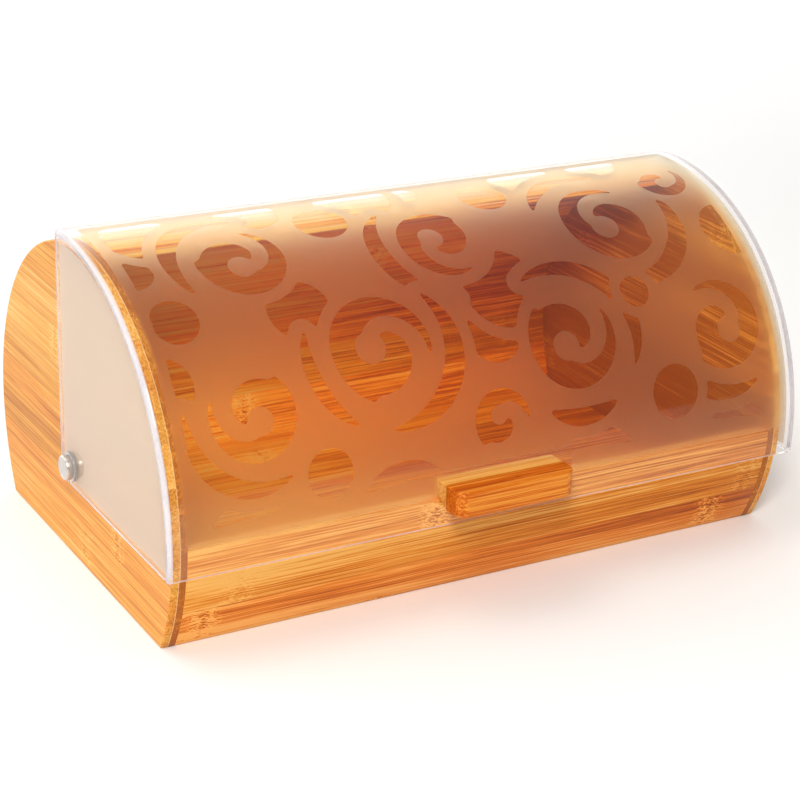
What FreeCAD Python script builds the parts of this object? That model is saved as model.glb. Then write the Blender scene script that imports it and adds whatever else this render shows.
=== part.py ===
"""Bread box with a roll top: a bamboo case with round sides and a curved
acrylic lid that swings up and back about two pins.  Millimetres, +Z up,
front towards -Y.  Origin: the middle of the underside of the overall box."""
import FreeCAD, Part
import math
import os

V = FreeCAD.Vector

# ---------------------------------------------------------------- dimensions
AXIS_Z = 60.0            # height of the pin axis above the table
R_CASE = 122.5           # outer radius of the sides, front board and back shell
HALF_W = 190.0           # outer face of a side panel
T_SIDE = 8.0             # side panel thickness
T_FRONT = 8.0            # curved front board thickness
T_REAR = 6.0             # curved back shell thickness
T_BASE = 8.0             # base board thickness
FRONT_TOP_Z = 61.0       # top edge of the front board
REAR_EDGE_Y = -10.2      # front edge of the back shell, from the pin axis
EDGE_R = 1.0             # softened outer edges of the bamboo

R_LID = 130.5            # outer radius of the lid
T_LID = 3.0              # acrylic thickness
LID_HALF_W = 195.5       # outer face of a lid wing
LID_BOTTOM_Z = 48.5      # bottom edge of the lid, above the table
LID_REAR_DEG = 7.0       # rear edge of the lid, behind the vertical
LID_CORNER_R = 2.4       # softened outer corner where sheet and wing meet
WING_REAR_Y = 14.8       # rear edge of a wing at the height of the pin
WING_CORNER_R = 12.0     # rounded corner of a wing round the pin
WING_FRONT_R = 4.0       # rounded bottom front corner of a wing

BAR_HALF_W = 37.0        # handle bar, half its width
BAR_DEPTH = 13.0         # how far the bar stands out from the lid
BAR_Z = (57.5, 72.0)     # bottom and top of the bar
BAR_CORNER_R = 7.5       # upright front corners of the bar
BAR_EDGE_R = 1.0
BLOCK_Z = (61.3, 71.0)   # bottom and top of the block behind the lid
BLOCK_BACK_Y = -116.4    # rear face of that block, from the pin axis
HANDLE_SCREW_X = 22.0
HANDLE_SCREW_Z = 65.6
HANDLE_SCREW_R = 2.0
HANDLE_HEAD_R = 3.6
HANDLE_HEAD_T = 2.2

PIN_SHANK_R = 2.0        # pivot screw
PIN_HEAD_R = 7.0
PIN_HEAD_T = 3.4
BUSH_R = 4.0             # sleeve of the bush that the wing turns on
BUSH_BORE_R = 2.15
FLANGE_R = 8.6
FLANGE_T = 1.4
RUN_CLEAR = 0.06         # radial running clearance, wing hole on bush
END_CLEAR = 0.12         # side clearance, wing between flange and washer
WASHER_R = 8.0
INSERT_R = 4.2
INSERT_L = 6.6

DOWEL_BASE_R, DOWEL_BASE_L = 2.5, 16.0
DOWEL_FRONT_R, DOWEL_FRONT_L = 2.0, 14.0
DOWEL_REAR_R, DOWEL_REAR_L = 1.5, 12.0
DOWEL_IN_SIDE = 5.0

# the pin axis stands behind the origin by half of what the handle adds
FRONT_REACH = R_LID + BAR_DEPTH
AXIS_Y = (FRONT_REACH - R_CASE) / 2.0

os.makedirs("parts", exist_ok=True)


def save(name, shape):
    shape.exportStep("parts/%s.step" % name)
    b = shape.BoundBox
    print("%-24s solids %d  vol %10.1f  x %7.1f %7.1f  y %7.1f %7.1f  z %6.1f %6.1f  valid %s"
          % (name, len(shape.Solids), shape.Volume, b.XMin, b.XMax, b.YMin, b.YMax,
             b.ZMin, b.ZMax, shape.isValid()))


def P(x, y, z):
    """A point given from the pin axis (y) and the table (z)."""
    return V(x, y + AXIS_Y, z)


def polar(r, deg, x=0.0):
    """A point at radius r, deg measured from straight up towards the front."""
    a = math.radians(deg)
    return P(x, -r * math.sin(a), AXIS_Z + r * math.cos(a))


def disc(r, x0, x1):
    return Part.makeCylinder(r, x1 - x0, P(x0, 0, AXIS_Z), V(1, 0, 0))


def xcyl(r, x0, x1, y, z):
    return Part.makeCylinder(r, x1 - x0, P(x0, y, z), V(1, 0, 0))


def ycyl(r, y0, y1, x, z):
    return Part.makeCylinder(r, y1 - y0, P(x, y0, z), V(0, 1, 0))


def box(x0, x1, y0, y1, z0, z1):
    return Part.makeBox(x1 - x0, y1 - y0, z1 - z0, P(x0, y0, z0))


def extrude_x(edges, x0, x1):
    """A closed outline drawn at x = 0, pushed out from x0 to x1."""
    face = Part.Face(Part.Wire(Part.__sortEdges__(edges)))
    face.translate(V(x0, 0, 0))
    return face.extrude(V(x1 - x0, 0, 0))


def line(a, b):
    return Part.LineSegment(a, b).toShape()


def arc(a, m, b):
    return Part.Arc(a, m, b).toShape()


def mirror_x(shape):
    return shape.mirror(V(0, 0, 0), V(1, 0, 0))


def front_deg(r, z):
    """Angle from straight up at which radius r, on the front, is at height z."""
    return 90.0 + math.degrees(math.asin((AXIS_Z - z) / r))


def rear_deg(r, z):
    return -(90.0 + math.degrees(math.asin((AXIS_Z - z) / r)))


# ------------------------------------------------------------- case: bamboo
def dowel_places():
    """Centres (y, z) of the hidden dowels that hold each board to the sides."""
    base = [(-62.0, T_BASE / 2.0), (62.0, T_BASE / 2.0)]
    rf = R_CASE - T_FRONT / 2.0
    front = []
    for z in (16.0, 46.0):
        a = math.radians(front_deg(rf, z))
        front.append((-rf * math.sin(a), AXIS_Z + rf * math.cos(a)))
    rr = R_CASE - T_REAR / 2.0
    rear = []
    for deg in (-5.0, -42.0, -79.0, -111.0):
        a = math.radians(deg)
        rear.append((-rr * math.sin(a), AXIS_Z + rr * math.cos(a)))
    return base, front, rear


BASE_D, FRONT_D, REAR_D = dowel_places()


def side_panel():
    """Left side: a disc cut flat at the bottom, blind holes on its inner face."""
    x0, x1 = -HALF_W, -HALF_W + T_SIDE
    s = disc(R_CASE, x0, x1).common(box(x0 - 1, x1 + 1, -200, 200, 0, 300))
    outer = [e for e in s.Edges
             if abs(e.BoundBox.XMin - x0) < 1e-4 and abs(e.BoundBox.XMax - x0) < 1e-4]
    s = s.makeFillet(EDGE_R, outer)
    for (y, z), r in ([(c, DOWEL_BASE_R) for c in BASE_D] +
                      [(c, DOWEL_FRONT_R) for c in FRONT_D] +
                      [(c, DOWEL_REAR_R) for c in REAR_D]):
        s = s.cut(xcyl(r, x1 - DOWEL_IN_SIDE, x1 + 1, y, z))
    return s.cut(xcyl(INSERT_R, x0 - 1, x0 + INSERT_L, 0, AXIS_Z))


def drill_ends(s, places, r, length):
    """Matching dowel holes in both ends of a board that runs between the sides."""
    deep = length - DOWEL_IN_SIDE
    xe = HALF_W - T_SIDE
    for y, z in places:
        s = s.cut(xcyl(r, -xe - 1, -xe + deep, y, z))
        s = s.cut(xcyl(r, xe - deep, xe + 1, y, z))
    return s


def dowels(places, r, length):
    xe = HALF_W - T_SIDE
    out = []
    for y, z in places:
        for x0 in (-xe - DOWEL_IN_SIDE, xe + DOWEL_IN_SIDE - length):
            d = xcyl(r, x0, x0 + length, y, z)
            d = d.makeChamfer(0.4, [e for e in d.Edges if e.Length < 2 * math.pi * r + 0.1
                                    and e.BoundBox.XLength < 1e-6])
            out.append(d)
    return Part.makeCompound(out)


def front_board():
    xe = HALF_W - T_SIDE
    ro, ri = R_CASE, R_CASE - T_FRONT
    a0, a1 = front_deg(ro, 0.0), front_deg(ri, 0.0)
    t0, t1 = front_deg(ro, FRONT_TOP_Z), front_deg(ri, FRONT_TOP_Z)
    e = [arc(polar(ro, a0), polar(ro, (a0 + t0) / 2), polar(ro, t0)),
         line(polar(ro, t0), polar(ri, t1)),
         arc(polar(ri, t1), polar(ri, (a1 + t1) / 2), polar(ri, a1)),
         line(polar(ri, a1), polar(ro, a0))]
    s = extrude_x(e, -xe, xe)
    top = [x for x in s.Edges if x.BoundBox.XLength > xe
           and abs(x.BoundBox.ZMin - FRONT_TOP_Z) < 0.01]
    s = s.makeFillet(1.2, top)
    return drill_ends(s, FRONT_D, DOWEL_FRONT_R, DOWEL_FRONT_L)


def rear_shell():
    xe = HALF_W - T_SIDE
    ro, ri = R_CASE, R_CASE - T_REAR
    f0 = math.degrees(math.asin(-REAR_EDGE_Y / ro))
    f1 = math.degrees(math.asin(-REAR_EDGE_Y / ri))
    b0, b1 = rear_deg(ro, 0.0), rear_deg(ri, 0.0)
    e = [arc(polar(ro, f0), polar(ro, (f0 + b0) / 2), polar(ro, b0)),
         line(polar(ro, b0), polar(ri, b1)),
         arc(polar(ri, b1), polar(ri, (f1 + b1) / 2), polar(ri, f1)),
         line(polar(ri, f1), polar(ro, f0))]
    s = extrude_x(e, -xe, xe)
    lip = [x for x in s.Edges if x.BoundBox.XLength > xe
           and abs(x.BoundBox.YMin - (REAR_EDGE_Y + AXIS_Y)) < 0.01
           and abs(x.BoundBox.YMax - (REAR_EDGE_Y + AXIS_Y)) < 0.01]
    s = s.makeFillet(1.0, lip)
    return drill_ends(s, REAR_D, DOWEL_REAR_R, DOWEL_REAR_L)


def base_board():
    xe = HALF_W - T_SIDE
    rf, rb = R_CASE - T_FRONT, R_CASE - T_REAR
    f0, f1 = front_deg(rf, 0.0), front_deg(rf, T_BASE)
    b0, b1 = rear_deg(rb, 0.0), rear_deg(rb, T_BASE)
    e = [arc(polar(rf, f0), polar(rf, (f0 + f1) / 2), polar(rf, f1)),
         line(polar(rf, f1), polar(rb, b1)),
         arc(polar(rb, b1), polar(rb, (b0 + b1) / 2), polar(rb, b0)),
         line(polar(rb, b0), polar(rf, f0))]
    s = extrude_x(e, -xe, xe)
    return drill_ends(s, BASE_D, DOWEL_BASE_R, DOWEL_BASE_L)


# ------------------------------------------------------------- lid: acrylic
def lid_sheet():
    """The curved front of the lid: a ring section with softened corners."""
    w, ro, ri, c = LID_HALF_W, R_LID, R_LID - T_LID, LID_CORNER_R
    k = c * (1 - math.cos(math.pi / 4))

    def q(x, r):
        return P(x, 0, AXIS_Z + r)
    e = [line(q(-w, ri), q(w, ri)),
         line(q(w, ri), q(w, ro - c)),
         arc(q(w, ro - c), q(w - k, ro - k), q(w - c, ro)),
         line(q(w - c, ro), q(-w + c, ro)),
         arc(q(-w + c, ro), q(-w + k, ro - k), q(-w, ro - c)),
         line(q(-w, ro - c), q(-w, ri))]
    face = Part.Face(Part.Wire(Part.__sortEdges__(e)))
    # from the rear edge forward and down past the bottom edge
    total = LID_REAR_DEG + 110.0
    face.rotate(P(0, 0, AXIS_Z), V(1, 0, 0), -LID_REAR_DEG)
    s = face.revolve(P(0, 0, AXIS_Z), V(1, 0, 0), total)
    s = s.common(box(-250, 250, -250, 250, LID_BOTTOM_Z, 400))
    for x in (-HANDLE_SCREW_X, HANDLE_SCREW_X):
        s = s.cut(ycyl(HANDLE_SCREW_R + 0.4, -140, -110, x, HANDLE_SCREW_Z))
    return s


def wing_outline():
    """Flat side of the lid, drawn just inside the curved sheet."""
    ri = R_LID - T_LID
    top = polar(ri, -LID_REAR_DEG)
    zb = LID_BOTTOM_Z
    # rear edge: a straight line from the sheet's rear end down past the pin
    yr0 = WING_REAR_Y
    ytop, ztop = top.y - AXIS_Y, top.z - AXIS_Z
    # direction of the rear edge and the corner circle tangent to it and to
    # the bottom edge
    dy, dz = ytop - yr0, ztop
    n = math.hypot(dy, dz)
    ty, tz = dy / n, dz / n                     # up along the rear edge
    ny, nz = -tz, ty                            # inward (towards the front)
    cz = (zb - AXIS_Z) + WING_CORNER_R
    # centre (cy, cz): distance WING_CORNER_R inside the rear edge
    # (cy - yr0) * ny + cz * nz = R
    cy = yr0 + (WING_CORNER_R - cz * nz) / ny
    pr = (cy - WING_CORNER_R * ny, cz - WING_CORNER_R * nz)
    mid = math.atan2(-1.0, 0.0)
    ang_r = math.atan2(pr[1] - cz, pr[0] - cy)
    am = (ang_r + mid) / 2.0
    pm = (cy + WING_CORNER_R * math.cos(am), cz + WING_CORNER_R * math.sin(am))
    pb = (cy, cz - WING_CORNER_R)
    # bottom front corner, rounded into the arc
    r = WING_FRONT_R
    cfz = zb - AXIS_Z + r
    cfy = -math.sqrt((ri - r) ** 2 - cfz ** 2)
    af = math.atan2(cfz, cfy)
    pf1 = (cfy, cfz - r)
    pf2 = (ri * math.cos(af), ri * math.sin(af))
    a_mid = (math.atan2(-1.0, 0.0) + (af - 2 * math.pi if af > 0 else af)) / 2.0
    pfm = (cfy + r * math.cos(a_mid), cfz + r * math.sin(a_mid))

    def w(p):
        return P(0, p[0], p[1] + AXIS_Z)
    deg_f = math.degrees(math.atan2(-pf2[0], pf2[1]))
    return [line(top, w(pr)), arc(w(pr), w(pm), w(pb)), line(w(pb), w(pf1)),
            arc(w(pf1), w(pfm), w(pf2)),
            arc(w(pf2), polar(ri, (deg_f - LID_REAR_DEG) / 2), top)]


def lid_wing():
    """Left wing."""
    x0 = -LID_HALF_W
    s = extrude_x(wing_outline(), x0, x0 + T_LID)
    return s.cut(xcyl(BUSH_R + RUN_CLEAR, x0 - 1, x0 + T_LID + 1, 0, AXIS_Z))


# ------------------------------------------------------------------- handle
def handle_bar():
    y1 = -(R_LID - 1.5)
    y0 = -(R_LID + BAR_DEPTH)
    s = box(-BAR_HALF_W, BAR_HALF_W, y0, y1, BAR_Z[0], BAR_Z[1])
    up = [e for e in s.Edges if e.BoundBox.ZLength > 5
          and abs(e.BoundBox.YMin - (y0 + AXIS_Y)) < 0.01]
    s = s.makeFillet(BAR_CORNER_R, up)
    rim = []
    for f in s.Faces:
        n = f.normalAt(0, 0)
        if abs(abs(n.z) - 1) < 1e-6:
            for e in f.Edges:
                if e.BoundBox.YMin < y1 + AXIS_Y - 0.5 or e.BoundBox.YLength > 1:
                    rim.append(e)
    s = s.makeFillet(BAR_EDGE_R, rim)
    s = s.cut(disc(R_LID, -100, 100))
    for x in (-HANDLE_SCREW_X, HANDLE_SCREW_X):
        s = s.cut(ycyl(HANDLE_SCREW_R, -R_LID - 9.0, -120, x, HANDLE_SCREW_Z))
    return s


def handle_block():
    """Block behind the lid: rests on the front board when the lid is shut."""
    s = box(-BAR_HALF_W, BAR_HALF_W, -(R_LID + 2), BLOCK_BACK_Y, BLOCK_Z[0], BLOCK_Z[1])
    ends = [e for e in s.Edges if e.BoundBox.ZLength > 5
            and abs(e.BoundBox.YMax - (BLOCK_BACK_Y + AXIS_Y)) < 0.01]
    s = s.makeFillet(2.0, ends)
    s = s.common(disc(R_LID - T_LID, -100, 100))
    for x in (-HANDLE_SCREW_X, HANDLE_SCREW_X):
        s = s.cut(ycyl(HANDLE_SCREW_R + 0.15, -140, -110, x, HANDLE_SCREW_Z))
        s = s.cut(ycyl(HANDLE_HEAD_R + 0.3, BLOCK_BACK_Y - HANDLE_HEAD_T - 0.8, -110,
                       x, HANDLE_SCREW_Z))
    return s


def handle_screws():
    out = []
    for x in (-HANDLE_SCREW_X, HANDLE_SCREW_X):
        yh = BLOCK_BACK_Y - 0.8
        head = ycyl(HANDLE_HEAD_R, yh - HANDLE_HEAD_T, yh, x, HANDLE_SCREW_Z)
        rim = [e for e in head.Edges if abs(e.BoundBox.YMin - (yh + AXIS_Y)) < 1e-4
               and e.BoundBox.YLength < 1e-6]
        head = head.makeFillet(0.7, rim)
        shank = ycyl(HANDLE_SCREW_R, -R_LID - 8.6, yh - HANDLE_HEAD_T + 0.2, x, HANDLE_SCREW_Z)
        s = head.fuse(shank)
        a = box(x - 2.4, x + 2.4, yh - 1.0, yh + 1, HANDLE_SCREW_Z - 0.5, HANDLE_SCREW_Z + 0.5)
        b = box(x - 0.5, x + 0.5, yh - 1.0, yh + 1, HANDLE_SCREW_Z - 2.4, HANDLE_SCREW_Z + 2.4)
        out.append(s.cut(a.fuse(b)).removeSplitter())
    return Part.makeCompound(out)


# ------------------------------------------------------------ pivots (left)
X_WASHER0 = -LID_HALF_W + T_LID + END_CLEAR      # outer face of the washer
X_FLANGE1 = -LID_HALF_W - END_CLEAR              # inner face of the flange
X_FLANGE0 = X_FLANGE1 - FLANGE_T


def pivot_washer():
    s = xcyl(WASHER_R, X_WASHER0, -HALF_W, 0, AXIS_Z)
    return s.cut(xcyl(BUSH_BORE_R, X_WASHER0 - 1, -HALF_W + 1, 0, AXIS_Z))


def pivot_bush():
    fl = xcyl(FLANGE_R, X_FLANGE0, X_FLANGE1, 0, AXIS_Z)
    rim = [e for e in fl.Edges if e.BoundBox.XLength < 1e-6
           and abs(e.BoundBox.XMin - X_FLANGE0) < 1e-4]
    fl = fl.makeFillet(0.6, rim)
    s = fl.fuse(xcyl(BUSH_R, X_FLANGE1 - 0.5, X_WASHER0, 0, AXIS_Z))
    s = s.cut(xcyl(BUSH_BORE_R, X_FLANGE0 - 1, X_WASHER0 + 1, 0, AXIS_Z))
    return s.removeSplitter()


def pivot_screw():
    x1, x0 = X_FLANGE0, X_FLANGE0 - PIN_HEAD_T
    head = xcyl(PIN_HEAD_R, x0, x1, 0, AXIS_Z)
    rim = [e for e in head.Edges if e.BoundBox.XLength < 1e-6
           and abs(e.BoundBox.XMin - x0) < 1e-4]
    head = head.makeFillet(1.1, rim)
    shank = xcyl(PIN_SHANK_R, x1 - 0.5, -HALF_W + INSERT_L - 0.6, 0, AXIS_Z)
    return head.fuse(shank).removeSplitter()


def threaded_insert():
    x0, x1 = -HALF_W, -HALF_W + INSERT_L
    s = xcyl(INSERT_R, x0, x1, 0, AXIS_Z)
    for xg in (x0 + 2.0, x0 + 4.4):
        ring = xcyl(INSERT_R + 1, xg, xg + 0.7, 0, AXIS_Z).cut(
            xcyl(INSERT_R - 0.5, xg, xg + 0.7, 0, AXIS_Z))
        s = s.cut(ring)
    return s.cut(xcyl(PIN_SHANK_R, x0 - 1, x1 + 1, 0, AXIS_Z))


# -------------------------------------------------------------------- write
left = side_panel()
save("left_side_panel", left)
save("right_side_panel", mirror_x(left))
save("front_board", front_board())
save("back_shell", rear_shell())
save("base_board", base_board())
save("base_board_dowels", dowels(BASE_D, DOWEL_BASE_R, DOWEL_BASE_L))
save("front_board_dowels", dowels(FRONT_D, DOWEL_FRONT_R, DOWEL_FRONT_L))
save("back_shell_dowels", dowels(REAR_D, DOWEL_REAR_R, DOWEL_REAR_L))

save("lid_curved_sheet", lid_sheet())
wing = lid_wing()
save("lid_left_wing", wing)
save("lid_right_wing", mirror_x(wing))
save("handle_bar", handle_bar())
save("handle_stop_block", handle_block())
save("handle_screws", handle_screws())

for nm, fn in (("pivot_screw", pivot_screw), ("pivot_bush", pivot_bush),
               ("pivot_spacer_washer", pivot_washer), ("pivot_threaded_insert", threaded_insert)):
    s = fn()
    save("left_" + nm, s)
    save("right_" + nm, mirror_x(s))

print("AXIS_Y %.3f  overall depth %.2f  width %.2f  height %.2f"
      % (AXIS_Y, FRONT_REACH + R_CASE, 2 * (LID_HALF_W + END_CLEAR + FLANGE_T + PIN_HEAD_T),
         AXIS_Z + R_LID))
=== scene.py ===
import bpy
import bmesh
import math
import numpy as np
from mathutils import Matrix, Vector
from mathutils.geometry import delaunay_2d_cdt


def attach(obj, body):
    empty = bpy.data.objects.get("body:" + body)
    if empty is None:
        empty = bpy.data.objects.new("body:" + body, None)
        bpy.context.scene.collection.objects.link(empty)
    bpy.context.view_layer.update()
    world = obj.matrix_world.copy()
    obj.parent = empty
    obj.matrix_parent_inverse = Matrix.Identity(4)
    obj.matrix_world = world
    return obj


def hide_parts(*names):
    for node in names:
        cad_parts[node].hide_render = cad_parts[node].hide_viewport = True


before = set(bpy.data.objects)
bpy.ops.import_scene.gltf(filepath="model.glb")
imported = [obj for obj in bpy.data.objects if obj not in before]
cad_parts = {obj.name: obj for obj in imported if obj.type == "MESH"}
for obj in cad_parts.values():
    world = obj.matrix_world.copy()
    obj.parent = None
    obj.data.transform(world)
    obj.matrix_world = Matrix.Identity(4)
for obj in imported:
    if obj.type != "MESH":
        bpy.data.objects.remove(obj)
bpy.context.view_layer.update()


# ------------------------------------------------------------------ dimensions
# metres, the same numbers as part.py has in millimetres
MM = 0.001
AY, AZ = 0.0105, 0.060          # the pin axis
R_CASE, T_FRONT, T_REAR = 122.5, 8.0, 6.0
HALF_W, T_SIDE = 190.0, 8.0
FRONT_TOP_Z, REAR_EDGE_Y = 61.0, -10.2
R_LID, T_LID, LID_HALF_W = 130.5, 3.0, 195.5
LID_BOTTOM_Z, LID_REAR_DEG, LID_CORNER_R = 48.5, 7.0, 2.4


def at(x, y, z):
    """A point in millimetres, y from the pin axis and z from the table."""
    return (x * MM, y * MM + AY, z * MM)


def polar(x, r, deg):
    a = math.radians(deg)
    return at(x, -r * math.sin(a), 60.0 + r * math.cos(a))


def front_deg(r, z):
    return 90.0 + math.degrees(math.asin((60.0 - z) / r))


# ------------------------------------------------------------------ node tools
class Tree:
    """A short way to write a node material."""

    def __init__(self, name):
        self.m = bpy.data.materials.new(name)
        self.m.use_nodes = True
        self.t = self.m.node_tree
        self.t.nodes.clear()
        self.out = self.n("ShaderNodeOutputMaterial")

    def n(self, kind):
        return self.t.nodes.new(kind)

    def put(self, socket, value):
        if isinstance(value, bpy.types.NodeSocket):
            self.t.links.new(value, socket)
        elif isinstance(value, (tuple, list)) and len(value) == 3 and socket.type == "RGBA":
            socket.default_value = (*value, 1.0)
        else:
            socket.default_value = value

    def f(self, op, a, b=None, c=None, clamp=False):
        n = self.n("ShaderNodeMath")
        n.operation = op
        n.use_clamp = clamp
        for i, v in enumerate((a, b, c)):
            if v is not None:
                self.put(n.inputs[i], v)
        return n.outputs[0]

    def xyz(self, x, y, z):
        n = self.n("ShaderNodeCombineXYZ")
        for i, v in enumerate((x, y, z)):
            self.put(n.inputs[i], v)
        return n.outputs[0]

    def split(self, v):
        n = self.n("ShaderNodeSeparateXYZ")
        self.put(n.inputs[0], v)
        return n.outputs[0], n.outputs[1], n.outputs[2]

    def place(self):
        return self.split(self.n("ShaderNodeTexCoord").outputs["Object"])

    def noise(self, v, scale=1.0, detail=2.0, rough=0.5, colour=False):
        n = self.n("ShaderNodeTexNoise")
        self.put(n.inputs["Vector"], v)
        n.inputs["Scale"].default_value = scale
        n.inputs["Detail"].default_value = detail
        n.inputs["Roughness"].default_value = rough
        return n.outputs["Color" if colour else "Fac"]

    def cells(self, v, scale=1.0, rand=1.0):
        n = self.n("ShaderNodeTexVoronoi")
        n.feature = "F1"
        self.put(n.inputs["Vector"], v)
        n.inputs["Scale"].default_value = scale
        n.inputs["Randomness"].default_value = rand
        return n.outputs["Distance"], n.outputs["Color"]

    def dice(self, w):
        """Three fixed random numbers for a whole number."""
        n = self.n("ShaderNodeTexWhiteNoise")
        n.noise_dimensions = "1D"
        self.put(n.inputs["W"], w)
        return self.split(n.outputs["Color"])

    def ramp(self, fac, stops, smooth=False):
        n = self.n("ShaderNodeValToRGB")
        n.color_ramp.interpolation = "EASE" if smooth else "LINEAR"
        e = n.color_ramp.elements
        while len(e) < len(stops):
            e.new(0.5)
        for i, (p, c) in enumerate(stops):
            e[i].position = p
            e[i].color = (*c, 1.0) if isinstance(c, tuple) else (c, c, c, 1.0)
        self.put(n.inputs["Fac"], fac)
        return n.outputs["Color"]

    def span(self, v, a, b, lo=0.0, hi=1.0):
        n = self.n("ShaderNodeMapRange")
        n.interpolation_type = "SMOOTHSTEP"
        self.put(n.inputs["Value"], v)
        for name, x in (("From Min", a), ("From Max", b), ("To Min", lo), ("To Max", hi)):
            self.put(n.inputs[name], x)
        return n.outputs["Result"]

    def mix(self, fac, a, b, mode="MIX"):
        n = self.n("ShaderNodeMix")
        n.data_type = "RGBA"
        n.blend_type = mode
        ins = [s for s in n.inputs if s.enabled]
        self.put(n.inputs[0], fac)
        self.put(n.inputs[6], a)
        self.put(n.inputs[7], b)
        return n.outputs[2]

    def hsv(self, colour, hue=0.5, sat=1.0, val=1.0):
        n = self.n("ShaderNodeHueSaturation")
        self.put(n.inputs["Hue"], hue)
        self.put(n.inputs["Saturation"], sat)
        self.put(n.inputs["Value"], val)
        self.put(n.inputs["Color"], colour)
        return n.outputs[0]

    def bump(self, height, distance, strength=1.0):
        n = self.n("ShaderNodeBump")
        n.inputs["Strength"].default_value = strength
        n.inputs["Distance"].default_value = distance
        self.put(n.inputs["Height"], height)
        return n.outputs[0]

    def shader(self, **k):
        p = self.n("ShaderNodeBsdfPrincipled")
        for name, v in k.items():
            self.put(p.inputs[name.replace("_", " ")], v)
        return p

    def show(self, socket):
        self.t.links.new(socket, self.out.inputs["Surface"])
        return self.m


# ------------------------------------------------------------------ bamboo
DARK, MID, LIGHT, PALE = (0.30, 0.055, 0.003), (0.60, 0.150, 0.010), (0.76, 0.245, 0.024), (0.90, 0.45, 0.11)


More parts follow.
